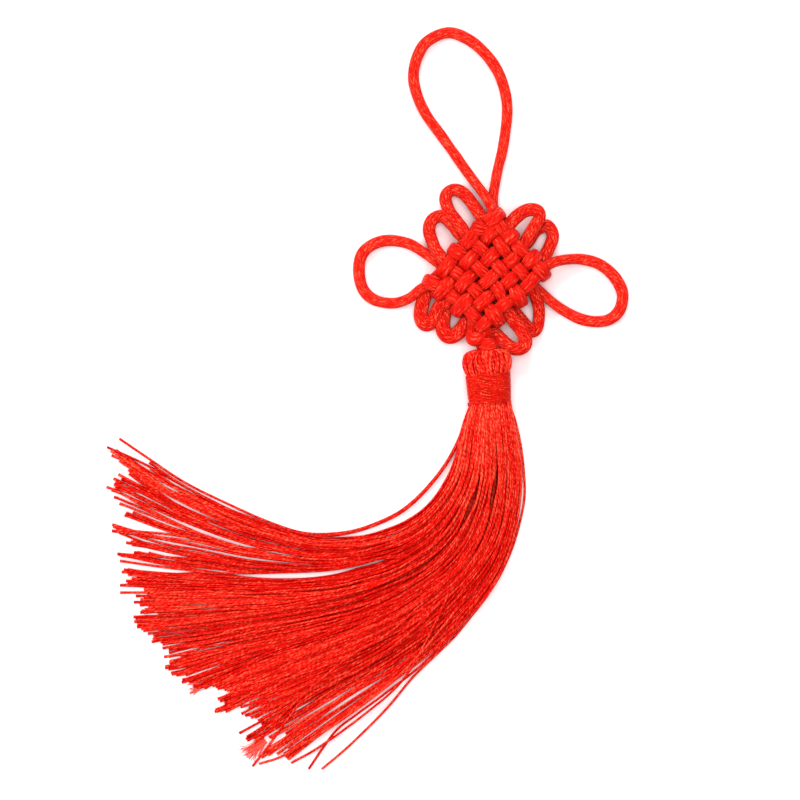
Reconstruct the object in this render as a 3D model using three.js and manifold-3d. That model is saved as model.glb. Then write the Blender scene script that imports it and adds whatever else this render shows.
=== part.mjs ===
// Red Chinese knot lying flat: one satin cord woven into a six by six pan chang with a hanging
// loop, two ears and six petals. The cord's two ends run into a tassel of folded thread, which
// is bound with wound thread and whose skirt is swept to one side.
// Millimetres. +X right, +Y towards the hanging loop, +Z up, resting on z = 0.
import * as THREE from "three";
import Module from "manifold-3d";

const CORD_W = 2.3;          // satin cord pressed flat in the weave
const CORD_T = 1.55;
const LOOP_W = 2.5;          // rounder where it runs free
const LOOP_T = 2.2;
const LAYER = 2.25;          // between the centres of the four stacked lines
const MID_Z = 1.5 * LAYER + CORD_T / 2;
const TURN = 2.3;            // reach of a closed turn past the last crossing
const BEAD = 4.3;            // reach of the top turn, which also holds a hanging strand
const PIECE = 18;            // rings in each length that is joined into the cord
const HEAD_Z = 4.6;          // height of the tassel's axis
const COLUMNS = 12;          // strands across the neck
const ROWS = 7;              // strands through the neck's thickness
const STATIONS = 11;         // rings along a strand
const STRAND_W = 0.5;
const STRAND_H = 0.4;
const CENTRE = [0, 0.2];     // middle of the whole outline, taken off every point

// Crossing of lines i = 1..6 (rising to the right) with lines j = 1..6 (falling to the right).
const CROSSINGS = [ // each row: one j; each pair: x, y
  [[31.2, 45.0], [33.6, 42.4], [35.6, 40.2], [38.1, 37.2], [41.2, 34.8], [43.2, 32.2]],
  [[28.0, 42.4], [30.9, 41.0], [33.5, 38.0], [36.1, 34.5], [38.1, 31.8], [40.8, 29.2]],
  [[25.6, 39.6], [28.2, 37.5], [30.6, 35.2], [33.1, 32.5], [35.5, 29.5], [37.5, 25.8]],
  [[22.6, 36.5], [25.5, 34.8], [28.0, 32.4], [30.5, 29.8], [32.8, 27.0], [34.2, 23.6]],
  [[20.0, 33.1], [22.5, 31.2], [24.5, 29.4], [27.0, 26.9], [29.0, 24.5], [31.5, 21.2]],
  [[16.1, 29.5], [19.2, 27.8], [21.6, 25.2], [24.0, 23.4], [26.2, 21.0], [29.0, 18.5]],
];

// Free runs of the cord: low is the height of the run's middle, points are x, y.
const RUNS = {
  tailA: { low: 7.0, points: [[30.0, 13.1], [30.9, 14.2], [30.6, 15.4], [28.7, 15.9], [26.6, 14.9],
    [24.9, 16.0], [24.9, 18.2]] },
  lowerLeft2: { low: 2.4, points: [[24.3, 19.3], [23.3, 17.5], [22.0, 16.0], [20.3, 15.4],
    [18.8, 16.5], [18.5, 18.8], [19.0, 21.0], [19.7, 23.3]] },
  lowerLeft1: { low: 2.4, points: [[18.5, 23.3], [17.4, 21.0], [16.5, 18.8], [15.0, 17.6],
    [13.8, 18.3], [13.3, 20.5], [13.8, 23.0], [14.6, 26.0]] },
  leftEar: { low: 1.1, points: [[13.3, 27.3], [10.3, 25.0], [6.3, 23.9], [1.8, 24.8], [-1.0, 27.5],
    [-2.0, 32.0], [-1.3, 36.0], [1.3, 38.5], [5.3, 39.6], [10.3, 38.8], [14.3, 36.5], [17.4, 34.2]] },
  upperLeft2: { low: 2.2, points: [[18.6, 35.3], [17.3, 37.0], [16.3, 39.3], [15.5, 42.1],
    [16.0, 44.5], [18.0, 46.0], [19.9, 45.3], [21.6, 43.3], [23.2, 41.0]] },
  upperLeft1: { low: 2.2, points: [[24.0, 42.1], [22.3, 44.4], [20.5, 47.0], [19.6, 49.6],
    [19.9, 51.6], [21.5, 52.6], [23.4, 52.0], [25.1, 50.5], [27.1, 47.6], [29.0, 45.2]] },
  hanging: { low: 1.1, points: [[30.4, 46.8], [30.0, 49.5], [28.3, 52.3], [25.3, 56.5],
    [22.8, 61.0], [18.8, 66.0], [14.8, 71.0], [12.5, 76.0], [11.6, 81.0], [12.8, 86.0],
    [15.3, 89.5], [20.3, 91.5], [25.3, 89.8], [29.3, 86.5], [32.3, 82.5], [34.0, 78.5],
    [34.9, 74.5], [35.1, 71.0], [34.6, 67.0], [33.9, 62.0], [32.8, 57.5], [31.9, 53.0],
    [31.5, 49.8], [31.9, 47.6], [33.2, 46.2], [34.7, 45.0], [35.3, 43.6]] },
  upperRight1: { low: 4.0, points: [[35.4, 43.2], [37.1, 45.3], [39.1, 47.0], [40.9, 47.6],
    [42.6, 46.8], [43.0, 45.3], [42.0, 43.3], [40.6, 41.0], [39.3, 38.8]] },
  upperRight2: { low: 1.6, points: [[40.3, 39.5], [42.0, 41.9], [43.8, 43.0], [44.9, 43.3],
    [46.0, 42.1], [46.4, 40.4], [45.6, 38.1], [44.6, 36.1], [43.9, 34.4]] },
  rightEar: { low: 1.1, points: [[44.6, 33.1], [47.3, 34.3], [50.8, 34.9], [54.3, 34.8],
    [58.3, 33.5], [61.8, 30.5], [64.0, 26.5], [63.4, 22.5], [60.8, 20.0], [57.3, 19.3],
    [53.3, 20.0], [49.3, 22.0], [45.8, 24.5], [42.8, 27.2]] },
  lowerRight1: { low: 1.4, points: [[41.5, 26.8], [42.4, 24.5], [42.9, 22.3], [42.9, 19.8],
    [42.5, 17.8], [41.5, 16.8], [40.3, 17.8], [39.3, 18.8], [37.5, 21.0], [36.0, 22.8]] },
  lowerRight2: { low: 4.2, points: [[35.2, 21.8], [36.3, 20.0], [38.0, 17.8], [39.3, 15.5],
    [39.4, 13.5], [38.0, 12.5], [36.0, 12.8], [34.0, 14.3], [32.3, 16.0], [30.6, 17.3]] },
  tailB: { low: 3.6, points: [[30.2, 17.2], [30.6, 15.6], [30.3, 14.2], [29.9, 13.1]] },
};

// The cord's route: a line pair is entered on the back (-1) or the front (1) and left on the other.
const ROUTE = ["tailA", ["V", 5, 1], "lowerLeft2", ["V", 3, -1], "lowerLeft1", ["V", 1, -1],
  "leftEar", ["H", 5, -1], "upperLeft2", ["H", 3, -1], "upperLeft1", ["H", 1, -1], "hanging",
  ["V", 2, -1], "upperRight1", ["V", 4, 1], "upperRight2", ["V", 6, -1], "rightEar",
  ["H", 2, -1], "lowerRight1", ["H", 4, -1], "lowerRight2", ["H", 6, -1], "tailB"];

// Tassel head sections along its axis: distance from the top, half width, half height.
const HEAD_AXIS = { top: [29.9, 11.9], along: [0.0756, -0.9971] };
const HEAD = [[0, 1.7, 1.5], [0.5, 3.6, 2.9], [1.2, 5.0, 3.8], [2.2, 5.9, 4.3], [3.3, 6.0, 4.4],
  [4.4, 5.5, 4.2], [5.3, 4.8, 3.9], [9.5, 4.7, 3.8], [13.6, 4.8, 3.85], [14.3, 4.6, 3.7]];
const BINDING = { from: 5.6, to: 13.2, winds: 9, inner: [5.1, 4.2], outer: [5.5, 4.8] };

// Skirt guides from the inner edge to the outer edge: x, y at equal steps along the strands.
const GUIDES = [
  [[25.9, -1.5], [18.5, -18.1], [4.9, -30.1], [-13.0, -33.3], [-30.5, -28.7], [-46.8, -20.3],
    [-61.9, -10.0]],
  [[28.1, -1.5], [24.0, -20.2], [12.4, -35.0], [-4.9, -42.7], [-24.0, -44.4], [-43.2, -43.3],
    [-62.4, -41.8]],
  [[30.6, -1.5], [28.4, -21.1], [19.8, -38.6], [3.8, -49.9], [-15.1, -55.4], [-34.7, -58.4],
    [-54.4, -60.5]],
  [[33.4, -1.5], [34.2, -20.1], [29.6, -38.1], [17.7, -52.2], [2.1, -62.5], [-15.0, -70.3],
    [-31.9, -78.2]],
  [[35.9, -1.5], [38.7, -19.7], [36.4, -37.9], [28.5, -54.4], [16.1, -68.0], [2.2, -80.0],
    [-11.4, -92.5]],
];

const RED_CORD = 0xb3131c;
const RED_THREAD = 0xc8202b;
const RED_BINDING = 0xb8151f;

function makeRandom(seed) {
  let state = seed;
  return () => {
    state = (state * 1664525 + 1013904223) % 4294967296;
    return state / 4294967296;
  };
}

const smooth = (t) => { const c = Math.min(1, Math.max(0, t)); return c * c * (3 - 2 * c); };
const mix = (a, b, t) => a + (b - a) * t;

// Curve through values a, b, c, d at -1, 0, 1, 2, read at t between b and c.
function through(a, b, c, d, t) {
  return 0.5 * (2 * b + (c - a) * t + (2 * a - 5 * b + 4 * c - d) * t * t
    + (3 * b - a - 3 * c + d) * t * t * t);
}

function along(points, k, t) {
  const last = points.length - 1;
  const end = (n) => {
    if (n < 0) return points[0].map((v, m) => 2 * v - points[1][m]);
    if (n > last) return points[last].map((v, m) => 2 * v - points[last - 1][m]);
    return points[n];
  };
  const [a, b, c, d] = [end(k - 1), end(k), end(k + 1), end(k + 2)];
  return b.map((_, m) => through(a[m], b[m], c[m], d[m], t));
}

// One line pair: in on one face, a closed turn around the edge line, out on the other face.
function linePair(kind, n, first) {
  const rising = (kind === "V") === (n % 2 === 0);
  const order = rising ? [1, 2, 3, 4, 5, 6] : [6, 5, 4, 3, 2, 1];
  const points = order.map((m) => (kind === "V" ? CROSSINGS[m - 1][n - 1] : CROSSINGS[n - 1][m - 1]));
  const outer = order.map((m) => ((n + m) % 2 === 0) === (kind === "V"));
  const half = (CORD_W + CORD_T) / 2;
  const bulge = (s) => Math.sqrt(Math.max(0, 1 - (s / half) ** 2));
  const line = [];
  for (let k = 0; k < 5; k += 1) {
    const pitch = Math.hypot(points[k + 1][0] - points[k][0], points[k + 1][1] - points[k][1]);
    const middle = bulge(pitch / 2);
    for (let q = 0; q < 4; q += 1) {
      const t = q / 4;
      const near = Math.min(t, 1 - t) * pitch;
      const rise = (LAYER / 2) * (bulge(near) - middle) / (1 - middle);
      const up = outer[k] === (t < 0.5) ? 1 : -1;
      const level = t === 0.5 ? LAYER : LAYER + up * rise;
      line.push([...along(points, k, t), level]);
    }
  }
  line.push([...points[5], 1.5 * LAYER]);
  const [tip, before] = [points[5], points[4]];
  const reach = kind === "V" && n === 1 ? BEAD : TURN;
  const run = Math.hypot(tip[0] - before[0], tip[1] - before[1]);
  const out = [(tip[0] - before[0]) / run, (tip[1] - before[1]) / run];
  const steps = kind === "V" && n === 1 ? 9 : 7;
  const turn = [];
  for (let m = 1; m < steps; m += 1) {
    const angle = Math.PI * (m / steps - 0.5);
    const far = reach * Math.cos(angle);
    turn.push([tip[0] + out[0] * far, tip[1] + out[1] * far, first * -1.5 * LAYER * Math.sin(angle)]);
  }
  const inward = line.map(([x, y, z]) => [x, y, first * z]);
  const outward = line.map(([x, y, z]) => [x, y, -first * z]).reverse();
  const place = (give) => ([x, y, z]) => ({ x, y, z: MID_Z + z, free: 0, give });
  return [...inward.map(place(0.4)), ...turn.map(place(0.9)), ...outward.map(place(0.4))];
}

// A free run between two neighbours, leaving and meeting them at their own heights.
function freeRun(run, before, after) {
  const ends = [before[1] ?? null, after[0] ?? null];
  const points = [...(ends[0] ? [[ends[0].x, ends[0].y]] : []), ...run.points,
    ...(ends[1] ? [[ends[1].x, ends[1].y]] : [])];
  const samples = [];
  for (let k = 0; k < points.length - 1; k += 1) {
    const span = Math.hypot(points[k + 1][0] - points[k][0], points[k + 1][1] - points[k][1]);
    const count = Math.max(1, Math.round(span / 2.1));
    for (let q = 0; q < count; q += 1) samples.push(along(points, k, q / count));
  }
  samples.push(points[points.length - 1]);
  const travelled = [0];
  for (let k = 1; k < samples.length; k += 1) {
    travelled.push(travelled[k - 1] + Math.hypot(samples[k][0] - samples[k - 1][0],
      samples[k][1] - samples[k - 1][1]));
  }
  const total = travelled[travelled.length - 1];
  const ramp = Math.min(12, total / 2.2);
  const from = ends[0] ? ends[0].z : HEAD_Z + 1.25;
  const to = ends[1] ? ends[1].z : HEAD_Z - 1.25;
  const made = samples.map(([x, y], k) => {
    const s = travelled[k];
    const dip = smooth(s / ramp) * smooth((total - s) / ramp);
    const free = smooth(s / 3) * smooth((total - s) / 3);
    return { x, y, z: mix(mix(from, to, s / total), run.low, dip), free, give: 1 };
  });
  return made.slice(ends[0] ? 1 : 0, ends[1] ? -1 : undefined);
}

function cordPath() {
  const pairs = ROUTE.map((step) => (typeof step === "string" ? null : linePair(...step)));
  const path = [];
  ROUTE.forEach((step, k) => {
    if (pairs[k]) path.push(...pairs[k]);
    else {
      const before = k > 0 ? pairs[k - 1].slice(-2) : [];
      const after = k < ROUTE.length - 1 ? pairs[k + 1].slice(0, 2) : [];
      path.push(...freeRun(RUNS[step], before, after));
    }
  });
  return path;
}

// Neighbouring runs that press on each other move apart; the shift fades along the cord.
function settle(path) {
  const squash = CORD_W / CORD_T;
  const apart = CORD_W + 0.12;
  const floor = path.map((p) => mix(CORD_T, LOOP_T, p.free) / 2);
  const shift = path.map(() => [0, 0, 0]);
  const place = path.map((p) => [p.x, p.y, p.z]);
  for (let round = 0; round < 160; round += 1) {
    const push = path.map(() => [0, 0, 0]);
    for (let a = 0; a < path.length; a += 1) {
      for (let b = a + 5; b < path.length; b += 1) {
        const dx = place[a][0] - place[b][0];
        const dy = place[a][1] - place[b][1];
        if (Math.abs(dx) > apart || Math.abs(dy) > apart) continue;
        const dz = (place[a][2] - place[b][2]) * squash;
        const gap = Math.hypot(dx, dy, dz);
        if (gap >= apart || gap < 1e-6) continue;
        const force = 0.5 * (apart - gap) / gap;
        const wa = path[a].give / (path[a].give + path[b].give);
        const wb = 1 - wa;
        [dx, dy, dz / squash].forEach((d, m) => {
          push[a][m] += force * wa * d;
          push[b][m] -= force * wb * d;
        });
      }
    }
    for (let n = 0; n < path.length; n += 1) for (let m = 0; m < 3; m += 1) shift[n][m] += push[n][m];
    for (let pass = 0; pass < 2; pass += 1) {
      const old = shift.map((s) => [...s]);
      for (let n = 1; n < path.length - 1; n += 1) {
        for (let m = 0; m < 3; m += 1) {
          shift[n][m] = 0.5 * old[n][m] + 0.25 * (old[n - 1][m] + old[n + 1][m]);
        }
      }
    }
    path.forEach((p, n) => {
      place[n] = [p.x + shift[n][0], p.y + shift[n][1], Math.max(floor[n], p.z + shift[n][2])];
    });
  }
  return path.map((p, n) => ({ x: place[n][0], y: place[n][1], z: place[n][2], free: p.free }));
}

// Closed skin over rings of equal length, with flat ends.
function skin(rings) {
  const positions = [];
  const faces = [];
  const size = rings[0].length;
  rings.forEach((ring) => ring.forEach((p) => positions.push(p[0] - CENTRE[0], p[1] - CENTRE[1], p[2])));
  for (let r = 0; r < rings.length - 1; r += 1) {
    for (let k = 0; k < size; k += 1) {
      const [a, b] = [r * size + k, r * size + (k + 1) % size];
      faces.push(a, b, b + size, a, b + size, a + size);
    }
  }
  const last = (rings.length - 1) * size;
  for (let k = 1; k < size - 1; k += 1) {
    faces.push(0, k + 1, k);
    faces.push(last, last + k, last + k + 1);
  }
  return { positions, faces };
}

function geometryOf({ positions, faces }) {
  const geometry = new THREE.BufferGeometry();
  geometry.setAttribute("position", new THREE.Float32BufferAttribute(positions, 3));
  geometry.setIndex(faces);
  geometry.computeVertexNormals();
  return geometry;
}

// Flat-bottomed six-sided cord section swept along the path; its width stays level.
function cordRings(path) {
  const corners = [[1, 0], [0.55, 1], [-0.55, 1], [-1, 0], [-0.55, -1], [0.55, -1]];
  const rings = [];
  let side = null;
  path.forEach((p, n) => {
    const a = path[Math.max(0, n - 1)];
    const b = path[Math.min(path.length - 1, n + 1)];
    const ahead = new THREE.Vector3(b.x - a.x, b.y - a.y, b.z - a.z).normalize();
    const level = new THREE.Vector3(-ahead.y, ahead.x, 0);
    if (!side) side = level.clone().normalize();
    else if (level.length() > 0.25) {
      level.normalize();
      side = level.dot(side) < 0 ? level.negate() : level;
    }
    side = side.clone().addScaledVector(ahead, -side.dot(ahead)).normalize();
    const up = new THREE.Vector3().crossVectors(ahead, side);
    const thick = mix(CORD_T, LOOP_T, p.free);
    const wide = mix(CORD_W, LOOP_W, p.free);
    rings.push(corners.map(([w, t]) => [
      p.x + side.x * w * wide / 2 + up.x * t * thick / 2,
      p.y + side.y * w * wide / 2 + up.y * t * thick / 2,
      Math.max(0, p.z + side.z * w * wide / 2 + up.z * t * thick / 2),
    ]));
  });
  return rings;
}

// Rounded section across the head's axis at a distance from its top.
function headRing(distance, halfWidth, halfHeight, count, round = 2.3) {
  const [ax, ay] = HEAD_AXIS.along;
  const ring = [];
  for (let k = 0; k < count; k += 1) {
    const angle = (k / count) * Math.PI * 2;
    const [c, s] = [Math.cos(angle), Math.sin(angle)];
    const w = halfWidth * Math.sign(c) * Math.abs(c) ** (2 / round);
    const h = halfHeight * Math.sign(s) * Math.abs(s) ** (2 / round);
    ring.push([HEAD_AXIS.top[0] + ax * distance - ay * w, HEAD_AXIS.top[1] + ay * distance + ax * w,
      Math.max(0, HEAD_Z + h)]);
  }
  return ring;
}

function guideAt(u, s) {
  const across = Math.min(3, Math.floor(u * 4));
  const down = Math.min(5, Math.floor(s * 6));
  const rows = [];
  for (let k = -1; k <= 2; k += 1) {
    const pick = across + k;
    const read = (row) => along(GUIDES[row], down, s * 6 - down);
    if (pick < 0) rows.push(read(0).map((v, m) => 2 * v - read(1)[m]));
    else if (pick > 4) rows.push(read(4).map((v, m) => 2 * v - read(3)[m]));
    else rows.push(read(pick));
  }
  return rows[0].map((_, m) => through(rows[0][m], rows[1][m], rows[2][m], rows[3][m], u * 4 - across));
}

// Strands leave the neck in columns and rows and fan out until each lies beside the next.
function strandSkins() {
  const random = makeRandom(7);
  const total = COLUMNS * ROWS;
  const pitch = 1.1;
  const strands = [];
  for (let n = 0; n < total; n += 1) {
    const column = Math.floor(n / ROWS);
    const row = n % ROWS;
    const own = (n + 0.5) / total;
    const start = (column + 0.5) / COLUMNS;
    const longer = 1 + 0.025 * Math.exp(-(((own - 0.14) / 0.09) ** 2));
    const length = n < total - 3 ? (0.955 + 0.045 * random()) * longer : 1;
    const points = [];
    for (let k = 0; k < STATIONS; k += 1) {
      const s = (k / (STATIONS - 1)) * length;
      const fan = Math.min(1, s ** 1.3);
      const narrow = Math.sqrt(1 - ((row - (ROWS - 1) / 2) * pitch / 4.4) ** 2);
      const neck = 0.5 + (start - 0.5) * mix(narrow, 1, smooth(s / 0.12)) * mix(0.8, 1, smooth(s / 0.1));
      const [x, y] = guideAt(Math.min(1, Math.max(0, mix(neck, own, fan))), s);
      const base = mix(HEAD_Z - (ROWS - 1) / 2 * pitch - 0.2, 0, smooth(s / 0.16));
      points.push([x, y, base + row * pitch * (1 - fan)]);
    }
    const [ax, ay] = HEAD_AXIS.along;
    points.unshift([points[0][0] - ax * 2.2, points[0][1] - ay * 2.2, points[0][2]]);
    const rings = points.map((p, k) => {
      const a = points[Math.max(0, k - 1)];
      const b = points[Math.min(points.length - 1, k + 1)];
      const run = Math.hypot(b[0] - a[0], b[1] - a[1]);
      const [nx, ny] = [-(b[1] - a[1]) / run, (b[0] - a[0]) / run];
      const half = (STRAND_W + 0.15 * Math.max(0, k - 1) / STATIONS) / 2;
      return [[p[0] + nx * half, p[1] + ny * half, p[2]], [p[0], p[1], p[2] + STRAND_H],
        [p[0] - nx * half, p[1] - ny * half, p[2]]];
    });
    strands.push(skin(rings));
  }
  return strands;
}

const wasm = await Module();
wasm.setup();

function solid({ positions, faces }) {
  const made = new wasm.Manifold(new wasm.Mesh({
    numProp: 3, vertProperties: new Float32Array(positions), triVerts: new Uint32Array(faces),
  }));
  if (made.volume() > 0) return made;
  throw new Error("a skin faces inward");
}

function geometryFrom(body) {
  const mesh = body.simplify(0.01).getMesh();
  return geometryOf({ positions: Array.from(mesh.vertProperties), faces: Array.from(mesh.triVerts) });
}

// Lengths of the cord joined end to end; where two runs touch they become one surface.
function cordGeometry() {
  const rings = cordRings(settle(cordPath()));
  const lengths = [];
  for (let n = 0; n < rings.length - 1; n += PIECE) {
    lengths.push(solid(skin(rings.slice(n, Math.min(rings.length, n + PIECE + 1)))));
  }
  return geometryFrom(wasm.Manifold.union(lengths));
}

function tasselGeometry() {
  const head = solid(skin(HEAD.map(([d, w, h]) => headRing(d, w, h, 16))));
  const parts = [head, ...strandSkins().map(solid)];
  return geometryFrom(wasm.Manifold.union(parts));
}

function bindingGeometry() {
  const steps = BINDING.winds * 2;
  const rings = [];
  for (let k = 0; k <= steps; k += 1) {
    const t = k / steps;
    const ridge = k % 2 === 1 ? 0.12 : 0;
    const width = mix(BINDING.outer[0], BINDING.outer[0] - 0.35, t) + ridge;
    rings.push(headRing(mix(BINDING.from, BINDING.to, t), width, BINDING.outer[1] + ridge, 20));
  }
  const outer = solid(skin(rings));
  const bore = solid(skin([BINDING.from - 1, BINDING.to + 1].map((d) => (
    headRing(d, BINDING.inner[0], BINDING.inner[1], 20)))));
  return geometryFrom(outer.subtract(bore));
}

function addMesh(group, name, geometry, color, roughness) {
  const mesh = new THREE.Mesh(geometry, new THREE.MeshStandardMaterial({ color, roughness, metalness: 0 }));
  mesh.name = name;
  group.add(mesh);
}

const group = new THREE.Group();
group.name = "chinese_knot_tassel";
addMesh(group, "knot_cord", cordGeometry(), RED_CORD, 0.5);
addMesh(group, "tassel", tasselGeometry(), RED_THREAD, 0.75);
addMesh(group, "binding", bindingGeometry(), RED_BINDING, 0.55);

export default group;
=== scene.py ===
import bpy
import numpy as np
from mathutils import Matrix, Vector


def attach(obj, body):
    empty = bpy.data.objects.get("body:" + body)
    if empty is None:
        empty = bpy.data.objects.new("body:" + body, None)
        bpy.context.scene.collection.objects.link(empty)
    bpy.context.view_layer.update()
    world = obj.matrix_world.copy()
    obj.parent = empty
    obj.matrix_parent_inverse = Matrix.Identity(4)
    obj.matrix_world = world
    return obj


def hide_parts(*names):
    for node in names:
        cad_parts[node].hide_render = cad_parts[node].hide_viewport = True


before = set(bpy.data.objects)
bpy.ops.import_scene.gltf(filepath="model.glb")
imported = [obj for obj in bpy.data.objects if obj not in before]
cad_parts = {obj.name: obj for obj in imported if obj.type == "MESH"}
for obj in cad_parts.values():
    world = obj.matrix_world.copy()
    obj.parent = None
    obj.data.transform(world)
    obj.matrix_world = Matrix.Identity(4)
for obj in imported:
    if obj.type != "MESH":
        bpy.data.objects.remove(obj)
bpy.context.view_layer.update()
MM = 0.001                       # the sizes below are in millimetres


# ---- Camera, floor and light ----
# The knot is photographed from straight above on a white sheet, under one broad soft light
# overhead and two small lamps, at the left and at the back, that make the threads gleam.
VIEW_MIDDLE = (8.25, -0.45)      # millimetres on the surface at the picture's middle
VIEW_WIDTH = 200.0
CAMERA_HEIGHT = 1400.0

camera_data = bpy.data.cameras.new("camera")
camera_data.sensor_width = 36.0
camera_data.lens = 36.0 * CAMERA_HEIGHT / VIEW_WIDTH
camera_data.clip_end = 10.0
camera = bpy.data.objects.new("camera", camera_data)
camera.location = (VIEW_MIDDLE[0] * MM, VIEW_MIDDLE[1] * MM, CAMERA_HEIGHT * MM)
bpy.context.collection.objects.link(camera)
bpy.context.scene.camera = camera


def soft_light(name, place, size, power, colour):
    """A square light at place, facing the middle of the object."""
    data = bpy.data.lights.new(name, "AREA")
    data.shape = "SQUARE"
    data.size = size
    data.energy = power
    data.color = colour
    lamp = bpy.data.objects.new(name, data)
    lamp.location = place
    towards = Vector((0.01, 0, 0)) - Vector(place)
    lamp.rotation_euler = towards.to_track_quat("-Z", "Y").to_euler()
    bpy.context.collection.objects.link(lamp)


WHITE, WARM_WHITE = (1.0, 1.0, 1.0), (1.0, 0.99, 0.98)
soft_light("left_light", (-1.3, 0.0, 1.0), 0.5, 16.0, WARM_WHITE)
soft_light("back_light", (0.0, 1.3, 1.0), 0.5, 15.0, WARM_WHITE)
soft_light("top_light", (0.1, 0.1, 1.8), 1.4, 30.0, WHITE)

world = bpy.data.worlds.new("white_room")
world.use_nodes = True
room = world.node_tree.nodes["Background"]
room.inputs["Color"].default_value = (*WHITE, 1.0)
room.inputs["Strength"].default_value = 0.72
bpy.context.scene.world = world
bpy.context.scene.view_settings.view_transform = "Standard"

# The open sheet is lit well past white, so its pink tint shows only in the shade round the knot:
# painted reflection, standing for red light the cord throws back into that shade.
PAPER_PAINTED_BOUNCE = (0.86, 0.685, 0.69, 1.0)
floor_mesh = bpy.data.meshes.new("white_surface")
floor_mesh.from_pydata([(-3, -3, 0), (3, -3, 0), (3, 3, 0), (-3, 3, 0)], [], [(0, 1, 2, 3)])
floor = bpy.data.objects.new("white_surface", floor_mesh)
bpy.context.collection.objects.link(floor)
floor_paper = bpy.data.materials.new("white_paper")
floor_paper.use_nodes = True
paper = floor_paper.node_tree.nodes["Principled BSDF"]
paper.inputs["Base Color"].default_value = PAPER_PAINTED_BOUNCE
paper.inputs["Roughness"].default_value = 0.9
floor_mesh.materials.append(floor_paper)


# ---- The knotted satin cord ----
# One length of 2.5 mm braided satin cord. It is tied round pins as a six by six pan chang: every
# line pair goes in on one face, turns round the edge line and comes back on the other face.
# Pulled tight, the soft cord is pressed flat in the weave and swells at its closed turns.
LAYER = 2.25                     # between the centres of the four stacked lines
MID_Z = 4.15                     # height of the middle of the weave
OUTER = 1.5 * LAYER              # from there to the top line, or to the bottom one
TURN_REACH = {("H", 1): 2.1, ("H", 2): 1.2, ("H", 3): 2.3, ("H", 5): 2.7, ("V", 2): 2.7,
              ("V", 4): 2.8}     # how far a closed turn stands out of the weave
OTHER_REACH = 1.6
RISING_WIDTH, FALLING_WIDTH, TURN_WIDTH, CORNER_WIDTH = 3.25, 3.0, 3.9, 3.3
TURN_NARROWS = 0.5               # a turn is that much narrower at its outermost
PINCHED, CROWNED = 0.90, 0.11    # shares of a line's width half way up, and more or less by height
BACK_SPREAD = 1.14               # the back lies on the table, and its lines are spread by that
WEAVE_THICK, TURN_THICK = 2.05, 2.1
LINE_STEPS, RUN_STEPS = 8, 6     # points worked out between two points of a line, or of a run
LEAVING_WIDTH = 2.75             # where a free run leaves the weave
LONG_LOOP_WIDTH = 2.8            # a run narrower than this is the hanging loop or an ear
CENTRE = np.array([0.0, 0.2, 0.0])   # of the outline, in the coordinates of the tables below

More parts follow.
